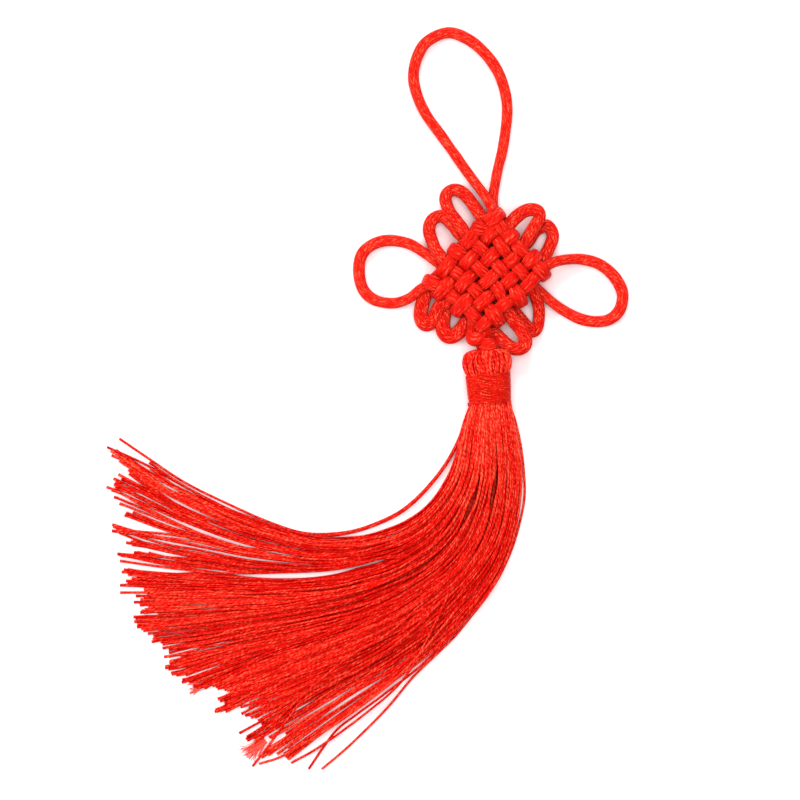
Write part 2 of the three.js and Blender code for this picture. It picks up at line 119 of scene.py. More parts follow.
CROSSINGS = np.array([  # one row for each falling line j; columns are the rising lines i; x, y
    [[32.0, 45.4], [33.6, 42.4], [35.6, 40.2], [38.1, 37.2], [41.2, 34.8], [43.2, 32.2]],
    [[28.0, 42.4], [30.9, 41.4], [33.5, 38.0], [36.1, 34.5], [38.1, 31.8], [40.8, 29.2]],
    [[25.6, 39.6], [28.2, 37.5], [30.6, 35.2], [33.1, 32.5], [35.5, 29.5], [37.5, 25.8]],
    [[22.6, 36.5], [25.5, 34.8], [28.0, 32.4], [30.5, 29.8], [32.8, 27.0], [34.2, 23.6]],
    [[20.0, 33.1], [22.5, 31.2], [24.5, 29.4], [27.0, 26.9], [29.0, 24.5], [31.5, 21.2]],
    [[16.3, 28.9], [19.2, 27.7], [21.6, 25.2], [24.0, 23.7], [26.2, 21.0], [29.0, 18.5]],
])
FREE_RUNS = {  # name: (height of its middle, width, thickness, points x, y)
    "lower_left_2": (2.5, 3.9, 2.4, [(25.0, 19.4), (23.6, 17.4), (21.8, 15.9), (20.3, 15.7),
                                     (19.2, 16.9), (18.9, 19.0), (19.2, 21.2), (19.8, 23.3)]),
    "lower_left_1": (2.5, 3.6, 2.4, [(18.4, 23.3), (17.3, 21.3), (16.4, 19.6), (15.1, 18.6),
                                     (13.9, 19.2), (13.4, 21.2), (13.9, 24.0), (14.7, 26.3)]),
    "left_ear": (1.25, 2.7, 2.4, [(13.3, 27.3), (10.3, 25.0), (6.3, 23.9), (1.8, 24.8),
                                  (-1.0, 27.5), (-2.0, 32.0), (-1.3, 36.0), (1.3, 38.5),
                                  (5.3, 39.6), (10.3, 38.8), (14.3, 36.5), (17.4, 34.2)]),
    "upper_left_2": (2.2, 3.15, 2.3, [(18.6, 35.3), (17.3, 37.0), (16.3, 39.3), (15.5, 42.1),
                                      (16.1, 44.4), (18.0, 45.6), (19.7, 45.0), (21.5, 43.2),
                                      (23.2, 41.0)]),
    "upper_left_1": (2.2, 3.15, 2.3, [(24.0, 42.1), (22.3, 44.4), (20.5, 47.0), (19.6, 49.6),
                                      (20.0, 51.3), (21.5, 52.2), (23.3, 51.8), (25.0, 50.4),
                                      (27.1, 47.6), (29.0, 45.2)]),
    "hanging": (1.25, 2.6, 2.4, [(31.3, 47.2), (30.3, 49.3), (28.2, 52.4), (25.0, 56.7),
                                 (21.9, 61.1), (18.4, 66.0), (14.8, 71.0), (12.5, 76.0),
                                 (11.6, 81.0), (12.8, 86.0), (15.3, 89.5), (20.3, 91.5),
                                 (25.3, 89.8), (29.3, 86.5), (32.3, 82.5), (34.0, 78.5),
                                 (34.9, 74.5), (35.0, 71.0), (34.6, 67.0), (33.8, 62.0),
                                 (32.7, 57.5), (31.9, 53.2), (31.5, 50.4), (31.6, 48.3),
                                 (32.4, 46.6), (33.4, 45.2), (34.2, 43.9)]),
    "upper_right_1": (4.0, 3.3, 2.2, [(35.2, 43.2), (37.1, 45.2), (39.1, 46.7), (40.9, 47.2),
                                       (42.6, 46.8), (43.0, 45.3), (42.0, 43.3), (40.6, 41.0),
                                       (39.3, 38.8)]),
    "upper_right_2": (1.7, 3.2, 2.3, [(40.3, 39.5), (42.0, 41.9), (43.8, 43.0), (44.9, 43.3),
                                      (46.0, 42.1), (46.4, 40.4), (45.6, 38.1), (44.6, 36.1),
                                      (43.9, 34.4)]),
    "right_ear": (1.25, 2.75, 2.4, [(44.6, 33.1), (47.3, 34.3), (50.8, 34.9), (54.3, 34.8),
                                    (58.3, 33.5), (61.8, 30.5), (63.8, 26.5), (63.2, 22.5),
                                    (60.8, 20.0), (57.3, 19.3), (53.3, 20.0), (49.3, 22.0),
                                    (45.8, 24.5), (42.8, 27.2)]),
    "lower_right_1": (1.4, 3.1, 2.3, [(41.5, 26.8), (42.4, 24.5), (42.9, 22.3), (42.9, 19.8),
                                      (42.5, 17.8), (41.5, 16.8), (40.3, 17.8), (39.3, 18.8),
                                      (37.5, 21.0), (36.0, 22.8)]),
    "lower_right_2": (4.0, 3.5, 2.4, [(35.2, 21.8), (36.3, 20.0), (38.0, 17.8), (39.3, 15.5),
                                      (39.4, 13.5), (38.0, 12.5), (36.0, 12.8), (34.0, 14.3),
                                      (32.3, 16.0), (30.6, 17.3)]),
}
# The two tails: x, y, z, width, thickness, slack. The first bends over itself in a fat fold and
# is hitched once round the second just above the tassel.
TAIL_A = np.array([
    [29.8, 11.6, 3.6, 2.6, 2.1, 0], [28.9, 12.6, 3.4, 2.6, 2.1, 0], [28.6, 13.3, 4.8, 2.9, 2.1, 0],
    [29.2, 13.5, 6.4, 3.2, 2.2, 0], [30.2, 13.5, 7.0, 3.5, 2.3, 0], [31.1, 13.6, 6.4, 3.2, 2.2, 0],
    [31.5, 13.9, 4.8, 2.8, 2.1, 0], [31.2, 14.7, 3.4, 2.2, 2.0, 0], [30.4, 15.3, 3.6, 2.0, 2.0, 0],
    [29.5, 15.6, 4.9, 2.1, 2.0, 0], [28.5, 15.5, 6.1, 2.9, 2.3, 0], [27.3, 15.0, 6.3, 4.0, 2.9, 0],
    [26.3, 15.3, 5.5, 3.8, 2.9, 0], [26.0, 16.7, 5.0, 2.4, 2.2, 0], [26.1, 18.2, 5.4, 2.1, 2.1, 0],
    [26.3, 19.6, 6.4, 2.7, 2.1, 0]])
TAIL_B = np.array([
    [29.6, 17.2, 6.4, 2.8, 2.1, 0], [30.0, 15.6, 5.2, 2.7, 2.1, 0], [30.3, 14.0, 4.6, 2.6, 2.1, 0],
    [30.0, 12.2, 4.6, 2.5, 2.1, 0]])
# Rising lines are V, falling lines are H; -1 enters on the back face, 1 on the front face.
ROUTE = [("V", 5, 1), "lower_left_2", ("V", 3, -1), "lower_left_1", ("V", 1, -1),
         "left_ear", ("H", 5, -1), "upper_left_2", ("H", 3, -1), "upper_left_1", ("H", 1, -1),
         "hanging", ("V", 2, -1), "upper_right_1", ("V", 4, 1), "upper_right_2", ("V", 6, -1),
         "right_ear", ("H", 2, -1), "lower_right_1", ("H", 4, -1), "lower_right_2", ("H", 6, -1)]


def smooth(t):
    """Eases from 0 to 1: 3 t squared less 2 t cubed, held outside that range."""
    t = np.clip(t, 0.0, 1.0)
    return t * t * (3 - 2 * t)


def through(points, at):
    """Catmull-Rom curve through the points, read at parameters counted in points."""
    points = np.asarray(points, float)
    padded = np.concatenate([[2 * points[0] - points[1]], points, [2 * points[-1] - points[-2]]])
    k = np.clip(np.floor(at).astype(int), 0, len(points) - 2)
    t = (np.asarray(at) - k).reshape((-1,) + (1,) * (points.ndim - 1))
    a, b, c, d = padded[k], padded[k + 1], padded[k + 2], padded[k + 3]
    return 0.5 * (2 * b + (c - a) * t + (2 * a - 5 * b + 4 * c - d) * t ** 2
                  + (3 * b - a - 3 * c + d) * t ** 3)


def line_pair(kind, n, first):
    """Two stacked lines and the closed turn that joins them: x, y, z, width, thickness, slack.

    Between crossings the height follows a quarter ellipse off one line and on to the next; the
    turn is half an ellipse in the upright plane, where the cord swells.
    """
    rising = (kind == "V") == (n % 2 == 0)
    order = np.arange(1, 7) if rising else np.arange(6, 0, -1)
    points = CROSSINGS[order - 1, n - 1] if kind == "V" else CROSSINGS[n - 1, order - 1]
    outer = ((n + order) % 2 == 0) == (kind == "V")
    width = RISING_WIDTH if kind == "V" else FALLING_WIDTH
    half = (width + WEAVE_THICK) / 2
    at = np.arange(5 * LINE_STEPS + 1) / LINE_STEPS
    plan = through(points, at)
    pitch = np.append(np.linalg.norm(np.diff(points, axis=0), axis=1), 1.0)
    k = np.minimum(at.astype(int), 5)
    t = at - k

    def over(s):
        return np.sqrt(np.maximum(0, 1 - (s / half) ** 2))

    middle = over(pitch[k] / 2)
    rise = LAYER / 2 * (over(np.minimum(t, 1 - t) * pitch[k]) - middle) / (1 - middle)
    height = LAYER + np.where(outer[k] == (t < 0.5), 1, -1) * np.where(t == 0.5, 0, rise)
    swell = smooth((at - 4.5) / 0.5)
    widths = width * (PINCHED + CROWNED * height / OUTER)
    thicks = WEAVE_THICK * (1 - swell) + TURN_THICK * swell
    out = (points[5] - points[4]) / np.linalg.norm(points[5] - points[4])
    angle = np.pi * (np.arange(1, 12) / 12 - 0.5)
    swollen = CORNER_WIDTH if (kind, n) == ("V", 6) else TURN_WIDTH
    turn = points[5] + out * TURN_REACH.get((kind, n), OTHER_REACH) * np.cos(angle)[:, None]
    turn = np.column_stack([turn, -first * OUTER * np.sin(angle),
                            swollen - TURN_NARROWS * np.cos(angle),
                            np.full(11, TURN_THICK), np.zeros(11)])
    faces = [np.column_stack([plan, side * height, widths * (1.0 if side > 0 else BACK_SPREAD)
                              * (1 - swell) + swollen * swell, thicks, 0 * thicks])
             for side in (first, -first)]
    return np.concatenate([faces[0], turn, faces[1][::-1]]) + (0, 0, MID_Z, 0, 0, 0)


EASE = 2.5                       # along the cord, in which it swells after leaving the weave
LONGEST_SLOPE = 12               # along the cord, in which a long run comes down to the table
DRAWN_SLACK = 0.2


def free_run(name, before, after):
    """A run outside the weave: spline in plan, its height easing down to the run's own level.

    Width and thickness ease from the weave's to the run's own within EASE. The long loops are
    drawn smoother, with little slack, and are fullest at their tops.
    """
    low, width, thick, points = FREE_RUNS[name]
    points = np.concatenate([[before[:2]], points, [after[:2]]])
    at = np.arange(1, (len(points) - 1) * RUN_STEPS) / RUN_STEPS
    plan = through(points, at)
    travelled = np.cumsum(np.linalg.norm(np.diff(plan, axis=0, prepend=[before[:2]]), axis=1))
    total = travelled[-1] + np.linalg.norm(plan[-1] - after[:2])
    slope = min(LONGEST_SLOPE, total / 2.2)
    dip = smooth(travelled / slope) * smooth((total - travelled) / slope)
    free = smooth(travelled / EASE) * smooth((total - travelled) / EASE)
    slack = free
    if width < LONG_LOOP_WIDTH:
        slack = DRAWN_SLACK * free
        width = width + 0.4 * np.sin(np.pi * travelled / total) ** 2 - 0.15
    straight = before[2] + (after[2] - before[2]) * travelled / total
    return np.column_stack([plan, straight + (low - straight) * dip,
                            LEAVING_WIDTH + (width - LEAVING_WIDTH) * free,
                            WEAVE_THICK + (thick - WEAVE_THICK) * free, slack])


pairs = [None if isinstance(step, str) else line_pair(*step) for step in ROUTE]
route = np.concatenate([TAIL_A] + [
    free_run(ROUTE[k], pairs[k - 1][-1], pairs[k + 1][0]) if pairs[k] is None else pairs[k]
    for k in range(len(ROUTE))] + [TAIL_B])


THREAD_APART = 40.0              # in the UV map, from one thread of a piece to the next


def carry(points, side, up, ring, radius_w, radius_t):
    """A ring of (across, through) corners carried along the points: each corner stands at
    point + side * across * radius_w + up * through * radius_t. Arrays run over all points."""
    across = side[..., None, :] * (ring[..., 0] * radius_w[..., None])[..., None]
    upright = up[..., None, :] * (ring[..., 1] * radius_t[..., None])[..., None]
    return points[..., None, :] + across + upright


def skin(name, rings, along, around):
    """One closed mesh from rings shaped (threads, stations, corners, 3), each thread with flat
    ends. Its UV map holds millimetres along and round it, plus THREAD_APART a thread."""
    threads, stations, corners = rings.shape[:3]
    number = np.arange(threads * stations * corners).reshape(threads, stations, corners)
    after = np.roll(number, -1, axis=2)
    quads = np.stack([number[:, :-1], after[:, :-1], after[:, 1:], number[:, 1:]], axis=-1)
    fan = np.arange(1, corners - 1)
    first = np.stack([np.broadcast_to(number[:, 0, :1], (threads, len(fan))),
                      number[:, 0, fan + 1], number[:, 0, fan]], axis=-1)
    last = np.stack([np.broadcast_to(number[:, -1, :1], (threads, len(fan))),
                     number[:, -1, fan], number[:, -1, fan + 1]], axis=-1)
    quads, ends = quads.reshape(-1, 4), np.concatenate([first, last]).reshape(-1, 3)
    corner_list = np.concatenate([quads.ravel(), ends.ravel()])
    sizes = np.concatenate([np.full(len(quads), 4), np.full(len(ends), 3)])
    mesh = bpy.data.meshes.new(name)
    mesh.vertices.add(number.size)
    mesh.vertices.foreach_set("co", ((rings.reshape(-1, 3) - CENTRE) * MM).ravel())
    mesh.loops.add(len(corner_list))
    mesh.loops.foreach_set("vertex_index", corner_list)
    mesh.polygons.add(len(sizes))
    mesh.polygons.foreach_set("loop_start", np.append(0, np.cumsum(sizes)[:-1]))
    mesh.polygons.foreach_set("use_smooth", np.ones(len(sizes), bool))
    uv = np.empty((threads, stations, corners + 1, 2))
    uv[..., 0] = along[:, :, None]
    own = THREAD_APART * np.arange(threads)[:, None, None]
    uv[..., 1] = around * np.arange(corners + 1) / corners + own
    corner_uv = np.stack([uv[:, :-1, :-1], uv[:, :-1, 1:], uv[:, 1:, 1:], uv[:, 1:, :-1]], axis=-2)
    end_uv = uv[:, :, :-1].reshape(-1, 2)[ends.ravel()]
    layer = mesh.uv_layers.new(name="thread")
    layer.data.foreach_set("uv", np.concatenate([corner_uv.reshape(-1, 2), end_uv]).ravel())
    mesh.update()
    mesh.validate()
    piece = bpy.data.objects.new(name, mesh)
    bpy.context.collection.objects.link(piece)
    return piece


def unit(v):
    """The vectors at length 1."""
    return v / np.maximum(np.linalg.norm(v, axis=-1, keepdims=True), 1e-9)


def point_value(piece, label, values, corners):
    """Keeps one number a ring as a named value on each of the ring's corners."""
    kept = piece.data.attributes.new(label, "FLOAT", "POINT")
    kept.data.foreach_set("value", np.repeat(values, corners))


# A ring stands every quarter of a millimetre along the path. Each ring's side is kept level, and
# where the cord stands upright in a turn the side is carried over from the rings next to it.
RING_STEP = 0.26
CORD_SIDES = 22
SQUARENESS = 2.9                 # 2 is an ellipse; the cord is pressed nearly flat
AROUND = 7.56                    # round the cord, in the braid's own millimetres
WAVER_STEP = 2.2                 # the cord's width and thickness waver over this length

measured = np.append(0, np.cumsum(np.linalg.norm(np.diff(route[:, :3], axis=0), axis=1)))
stations = np.interp(np.arange(0, measured[-1], RING_STEP / 3), measured, np.arange(len(route)))
fine = through(route, stations)
measured = np.append(0, np.cumsum(np.linalg.norm(np.diff(fine[:, :3], axis=0), axis=1)))
at = np.arange(0, measured[-1], RING_STEP)
cord = np.column_stack([np.interp(at, measured, fine[:, m]) for m in range(6)])
ahead = unit(np.gradient(cord[:, :3], axis=0))
level = np.column_stack([-ahead[:, 1], ahead[:, 0], np.zeros(len(ahead))])
known = np.flatnonzero(np.linalg.norm(level, axis=1) > 0.25)
level = unit(level)
flips = np.sign((level[known[1:]] * level[known[:-1]]).sum(1))
held = level[known] * np.append(1, np.cumprod(flips))[:, None]
held = np.column_stack([np.interp(np.arange(len(cord)), known, held[:, m]) for m in range(3)])
cord_side = unit(held - ahead * (held * ahead).sum(1)[:, None])
cord_up = np.cross(ahead, cord_side)

turn = np.linspace(0, 2 * np.pi, CORD_SIDES, endpoint=False)
ring = np.column_stack([np.sign(np.cos(turn)) * np.abs(np.cos(turn)) ** (2 / SQUARENESS),
                        np.sign(np.sin(turn)) * np.abs(np.sin(turn)) ** (2 / SQUARENESS)])
soft = np.random.default_rng(4)
waver = through(soft.normal(0, 1, (int(at[-1] / WAVER_STEP) + 3, 2)), at / WAVER_STEP)
cord_rings = carry(cord[:, :3], cord_side, cord_up, ring[None],
                   cord[:, 3] / 2 * (1 + 0.018 * waver[:, 0]),
                   cord[:, 4] / 2 * (1 + 0.02 * waver[:, 1]))
cord_rings[..., 2] = np.maximum(0.02, cord_rings[..., 2])
knot_cord = skin("satin_cord", cord_rings[None], at[None], AROUND)
point_value(knot_cord, "slack", cord[:, 5], CORD_SIDES)
# Painted highlight: the long loops carry a small rise in tone towards the highlight colour.
drawn = smooth(cord[:, 5] / DRAWN_SLACK) * (cord[:, 5] < 0.25)   # the long loops, a little paler
point_value(knot_cord, "painted_light", 0.045 * drawn, CORD_SIDES)


def node(tree, kind, **settings):
    """One shader node with its settings."""
    made = tree.nodes.new(kind)
    for name, value in settings.items():
        setattr(made, name, value)
    return made


def math(tree, operation, a, b=None):
    """One Math node; a and b are sockets or numbers."""
    made = node(tree, "ShaderNodeMath", operation=operation)
    for socket, value in zip(made.inputs, (a, b)):
        if isinstance(value, (int, float)):
            socket.default_value = value
        elif value is not None:
            tree.links.new(value, socket)
    return made.outputs[0]


def ramp(tree, factor, low, high, colour_low, colour_high):
    """Mixes two colours as factor goes from low to high."""
    reach = node(tree, "ShaderNodeMapRange", interpolation_type="SMOOTHSTEP")
    tree.links.new(factor, reach.inputs["Value"])
    reach.inputs["From Min"].default_value = low
    reach.inputs["From Max"].default_value = high
    blend = node(tree, "ShaderNodeMix", data_type="RGBA")
    tree.links.new(reach.outputs["Result"], blend.inputs["Factor"])
    for socket, colour in ((blend.inputs["A"], colour_low), (blend.inputs["B"], colour_high)):
        if isinstance(colour, tuple):
            socket.default_value = (*colour, 1.0)
        else:
            tree.links.new(colour, socket)
    return blend.outputs["Result"]


SWAY = (1.4, 0.9, 0.0)           # how far the stitches sway along and across
FIBRE_SCALE = (0.35, 5.0, 1.0)   # fibres some 3 mm long and 0.2 mm wide


def dyed_thread(name):
    """Node group for dyed silk-like thread. UV u runs along and v round it, in millimetres.

    Stitches are lozenges: the sine of u over their length times the sine of v over their width,
    each column shifted by half a stitch and all leaning, with u and v swayed by smooth noise;
    where the cord is slack they stand prouder. Fibres are noise stretched along u. Tone is their
    weighted mean, raised by a named point value where highlight is painted and lowered where shade
    is painted, and each thread of a bundle is a little lighter or darker by Thread tone. Three
    colours follow one another as tone rises: painted shade in the grooves between stitches and
    fibres, the thread's own colour, and a painted highlight on their crests.
    """
    tree = bpy.data.node_groups.new(name, "ShaderNodeTree")
    # Colour inputs: the thread's own colour, painted shade for the grooves between stitches and
    # fibres, and a painted highlight for their crests.
    for label in ("Colour", "Shade", "Crest"):
        tree.interface.new_socket(label, in_out="INPUT", socket_type="NodeSocketColor")
    for label in ("Stitch", "Column", "Lean", "Stitch height", "Slack height", "Fibre",
                  "Roughness", "Thread tone"):
        tree.interface.new_socket(label, in_out="INPUT", socket_type="NodeSocketFloat")
    tree.interface.new_socket("Colour", in_out="OUTPUT", socket_type="NodeSocketColor")
    for label in ("Roughness", "Height"):
        tree.interface.new_socket(label, in_out="OUTPUT", socket_type="NodeSocketFloat")
    inside, outside = tree.nodes.new("NodeGroupInput"), tree.nodes.new("NodeGroupOutput")
    uv = node(tree, "ShaderNodeUVMap", uv_map="thread")
    sway = node(tree, "ShaderNodeTexNoise", noise_dimensions="2D")
    sway.inputs["Scale"].default_value = 0.55
    tree.links.new(uv.outputs["UV"], sway.inputs["Vector"])
    swayed = node(tree, "ShaderNodeVectorMath", operation="MULTIPLY_ADD")
    swayed.inputs[1].default_value = SWAY
    tree.links.new(sway.outputs["Color"], swayed.inputs[0])
    tree.links.new(uv.outputs["UV"], swayed.inputs[2])
    split = node(tree, "ShaderNodeSeparateXYZ")
    tree.links.new(swayed.outputs[0], split.inputs[0])
    u, v = split.outputs[0], split.outputs[1]
    column = math(tree, "DIVIDE", v, inside.outputs["Column"])
    lean = math(tree, "MULTIPLY", math(tree, "FRACT", column), inside.outputs["Lean"])
    shifted = math(tree, "ADD", math(tree, "MULTIPLY", math(tree, "FLOOR", column), 0.5), lean)
    length = math(tree, "ADD", math(tree, "DIVIDE", u, inside.outputs["Stitch"]), shifted)
    across = math(tree, "ABSOLUTE", math(tree, "SINE", math(tree, "MULTIPLY", column, np.pi)))
    along = math(tree, "ABSOLUTE", math(tree, "SINE", math(tree, "MULTIPLY", length, np.pi)))
    lozenge = math(tree, "POWER", math(tree, "MULTIPLY", across, along), 0.6)
    stretched = node(tree, "ShaderNodeMapping")
    tree.links.new(uv.outputs["UV"], stretched.inputs["Vector"])
    stretched.inputs["Scale"].default_value = FIBRE_SCALE
    fibres = node(tree, "ShaderNodeTexNoise", noise_dimensions="2D")
    fibres.inputs["Scale"].default_value = 1.0
    fibres.inputs["Detail"].default_value = 3.0
    tree.links.new(stretched.outputs[0], fibres.inputs["Vector"])
    uneven = node(tree, "ShaderNodeTexNoise", noise_dimensions="2D")
    uneven.inputs["Scale"].default_value = 0.9
    uneven.inputs["Detail"].default_value = 2.0
    tree.links.new(uv.outputs["UV"], uneven.inputs["Vector"])
    slack = node(tree, "ShaderNodeAttribute", attribute_name="slack")
    proud = math(tree, "ADD", inside.outputs["Stitch height"], math(
        tree, "MULTIPLY", slack.outputs["Fac"], inside.outputs["Slack height"]))
    patchy = math(tree, "ADD", math(tree, "MULTIPLY", uneven.outputs["Fac"], 1.8), 0.1)
    worn = math(tree, "MULTIPLY", lozenge, patchy)
    height = math(tree, "ADD", math(tree, "MULTIPLY", worn, proud),
                  math(tree, "MULTIPLY", fibres.outputs["Fac"], inside.outputs["Fibre"]))
    tone = math(tree, "DIVIDE", height, math(tree, "ADD", proud, inside.outputs["Fibre"]))
    plain = node(tree, "ShaderNodeSeparateXYZ")
    tree.links.new(uv.outputs["UV"], plain.inputs[0])
    # Painted light: a named value on the points raises tone towards the painted highlight colour,
    # or lowers it towards the painted shade.
    painted_light = node(tree, "ShaderNodeAttribute", attribute_name="painted_light")
    tone = math(tree, "ADD", tone, painted_light.outputs["Fac"])
    number = math(tree, "DIVIDE", plain.outputs[1], THREAD_APART)
    number = math(tree, "FLOOR", math(tree, "ADD", number, 0.01))
    own = node(tree, "ShaderNodeTexWhiteNoise", noise_dimensions="1D")
    tree.links.new(number, own.inputs["W"])
    tone = math(tree, "ADD", tone, math(tree, "MULTIPLY", math(
        tree, "SUBTRACT", own.outputs["Value"], 0.5), inside.outputs["Thread tone"]))
    # Painted shade where the tone is low, painted highlight where it is high.
    dark = ramp(tree, tone, 0.20, 0.48, inside.outputs["Shade"], inside.outputs["Colour"])
    bright = ramp(tree, tone, 0.52, 0.84, dark, inside.outputs["Crest"])
    tree.links.new(bright, outside.inputs["Colour"])
    dull = math(tree, "ADD", inside.outputs["Roughness"], math(
        tree, "MULTIPLY", math(tree, "SUBTRACT", uneven.outputs["Fac"], 0.5), 0.3))
    dull = math(tree, "ADD", dull, math(
        tree, "MULTIPLY", math(tree, "SUBTRACT", 1.0, slack.outputs["Fac"]), 0.06))
    tree.links.new(dull, outside.inputs["Roughness"])
    tree.links.new(height, outside.inputs["Height"])
    return tree


def thread_material(name, group, relief, shine, **values):
    """Principled material whose colour, roughness and bump come from the dyed thread group:
    relief is the bump's height in millimetres, shine the specular level."""
    made = bpy.data.materials.new(name)
    made.use_nodes = True
    tree = made.node_tree
    shader = tree.nodes["Principled BSDF"]
    shader.inputs["Specular IOR Level"].default_value = shine
    shader.inputs["Specular Tint"].default_value = (1.0, 0.45, 0.3, 1.0)
    look = node(tree, "ShaderNodeGroup", node_tree=group)
    for label, value in values.items():
        socket = look.inputs[label.replace("_", " ")]
        socket.default_value = (*value, 1.0) if isinstance(value, tuple) else value
    bump = node(tree, "ShaderNodeBump")
    bump.inputs["Distance"].default_value = relief * MM
    bump.inputs["Strength"].default_value = 1.0
    tree.links.new(look.outputs["Colour"], shader.inputs["Base Color"])
    tree.links.new(look.outputs["Roughness"], shader.inputs["Roughness"])
    tree.links.new(look.outputs["Height"], bump.inputs["Height"])
    tree.links.new(bump.outputs["Normal"], shader.inputs["Normal"])
    return made


# Each material gives the thread's own colour, a Shade that is painted shade for the grooves, and a
# painted highlight colour for the crests.
dyed = dyed_thread("dyed_thread")
knot_cord.data.materials.append(thread_material(
    "red_satin_cord", dyed, relief=0.20, shine=0.08, Colour=(0.50, 0.004, 0.002),
    Shade=(0.22, 0.0, 0.0), Crest=(0.82, 0.085, 0.042), Stitch=1.45, Column=0.315, Lean=0.5,
    Stitch_height=0.22, Slack_height=0.3, Fibre=0.8, Roughness=0.34, Thread_tone=0.0))
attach(knot_cord, "root")
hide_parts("knot_cord")


# ---- The tassel's head ----
# The hank of two-ply silky thread is folded over the cord's ends, so its top is a bulge of
# threads that come down side by side from the fold and run into the binding. They are silky
# rayon, dyed the red of the cord.
HEAD_TOP = np.array([29.7, 11.9])
HEAD_ALONG = np.array([0.0756, -0.9971])     # the way the head points, in plan
HEAD_Z = 4.6                     # height of its axis
HEAD_POWER = 2.3                 # the rounded section's exponent
HEAD_PROFILE = np.array([  # distance from the top, half width, half height
    [-0.55, 1.6, 1.2], [-0.3, 3.6, 2.6], [0.1, 5.0, 3.5], [0.8, 5.85, 4.0], [2.2, 6.3, 4.3],
    [3.4, 6.35, 4.35], [4.6, 6.0, 4.3], [5.6, 5.55, 4.2], [6.5, 5.1, 4.0], [9.5, 4.9, 3.9]])
THREAD = 0.31                    # radius of the two-ply tassel thread


def on_head(distance, angle, inset, profile=HEAD_PROFILE):
    """Point on the head at a distance from its top and an angle round its axis: a rounded
    section with exponent HEAD_POWER whose half width and half height follow the profile."""
    width = np.interp(distance, profile[:, 0], profile[:, 1]) - inset
    height = np.interp(distance, profile[:, 0], profile[:, 2]) - inset
    c, s = np.cos(angle), np.sin(angle)
    across = width * np.sign(c) * np.abs(c) ** (2 / HEAD_POWER)
    plan = HEAD_TOP + HEAD_ALONG * distance[..., None]
    plan = plan + np.array([-HEAD_ALONG[1], HEAD_ALONG[0]]) * across[..., None]
    upright = HEAD_Z + height * np.sign(s) * np.abs(s) ** (2 / HEAD_POWER)
    return np.concatenate([plan, upright[..., None]], axis=-1)


UP = np.array([0.0, 0.0, 1.0])
THREAD_AROUND = 2.07             # round a thread, in the twist's own millimetres
THREAD_SIDES = 6


def threads(name, points, radius, sides=THREAD_SIDES, outward=UP):
    """Round threads along points shaped (threads, stations, 3); radius may differ by station.
    Each section's side is square to outward and to the way ahead."""
    ahead = unit(np.gradient(points, axis=1))
    side = unit(np.cross(outward, ahead))
    up = np.cross(ahead, side)
    steps = np.linalg.norm(np.diff(points, axis=1), axis=2)
    along = np.concatenate([np.zeros((len(points), 1)), np.cumsum(steps, axis=1)], axis=1)
    corner = np.linspace(0, 2 * np.pi, sides, endpoint=False)
    ring = np.stack([np.cos(corner), np.sin(corner)], axis=-1)
    radii = np.broadcast_to(radius, along.shape)
    rings = carry(points, side, up, ring, radii, radii)
    rings[..., 2] = np.maximum(0.02, rings[..., 2])
    return skin(name, rings, along, THREAD_AROUND)


rng = np.random.default_rng(11)
HEAD_THREADS, HEAD_STATIONS = 62, 30
angle = np.arange(HEAD_THREADS) + rng.uniform(-0.25, 0.25, HEAD_THREADS)
angle = angle / HEAD_THREADS * 2 * np.pi
down = np.linspace(-0.35, 7.5, HEAD_STATIONS)
belly = np.sin(np.linspace(0, np.pi, HEAD_STATIONS))
lean = rng.normal(0, 0.10, (HEAD_THREADS, 1)) * belly
swollen = 0.6 * rng.uniform(-0.25, 0.1, (HEAD_THREADS, 1)) * belly
distance = np.broadcast_to(down, (HEAD_THREADS, HEAD_STATIONS))
parted = 0.15 * np.sin(np.pi * np.clip((down - 1.2) / 6, 0, 1)) ** 2
beside = angle[:, None] - 2.0        # the threads part a little left of the middle
round_angle = angle[:, None] + lean + parted * np.sign(beside) * np.exp(-(beside / 0.3) ** 2)
surface = on_head(distance, round_angle, THREAD - swollen)
middle = np.concatenate([HEAD_TOP + HEAD_ALONG * distance[..., None],
                         np.full(distance.shape + (1,), HEAD_Z)], axis=-1)
head_threads = threads("tassel_head_threads", surface, THREAD, outward=unit(surface - middle))
# Painted highlight: the head's outer threads carry a fixed rise in tone towards the highlight
# colour, for the sheen on the bulge.
point_value(head_threads, "painted_light", np.full(distance.size, 0.045), THREAD_SIDES)

# The inner threads of the hank fill the head and the neck, just under the outer ones.
CORE_END, CORE_INSET, CORE_GRID = 14.0, 0.58, 40
core_down = np.linspace(-0.3, CORE_END, CORE_GRID)
core_angle = np.linspace(0, 2 * np.pi, CORE_GRID, endpoint=False)
core_profile = np.vstack([HEAD_PROFILE, [CORE_END, 4.6, 3.7]])
core = on_head(np.broadcast_to(core_down[:, None], (CORE_GRID, CORE_GRID)),
               np.broadcast_to(core_angle, (CORE_GRID, CORE_GRID)), CORE_INSET, core_profile)
head_core = skin("tassel_head_core", core[None], core_down[None], 30.0)

tassel_yarn = thread_material(
    "red_tassel_thread", dyed, relief=0.11, shine=0.06, Colour=(0.51, 0.002, 0.001),
    Shade=(0.22, 0.0, 0.0), Crest=(0.86, 0.090, 0.045), Stitch=1.2, Column=0.69, Lean=1.0,
    Stitch_height=0.24, Slack_height=0.0, Fibre=0.4, Roughness=0.24, Thread_tone=0.22)
for piece in (head_threads, head_core):
    piece.data.materials.append(tassel_yarn)
    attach(piece, "root")
    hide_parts("tassel")


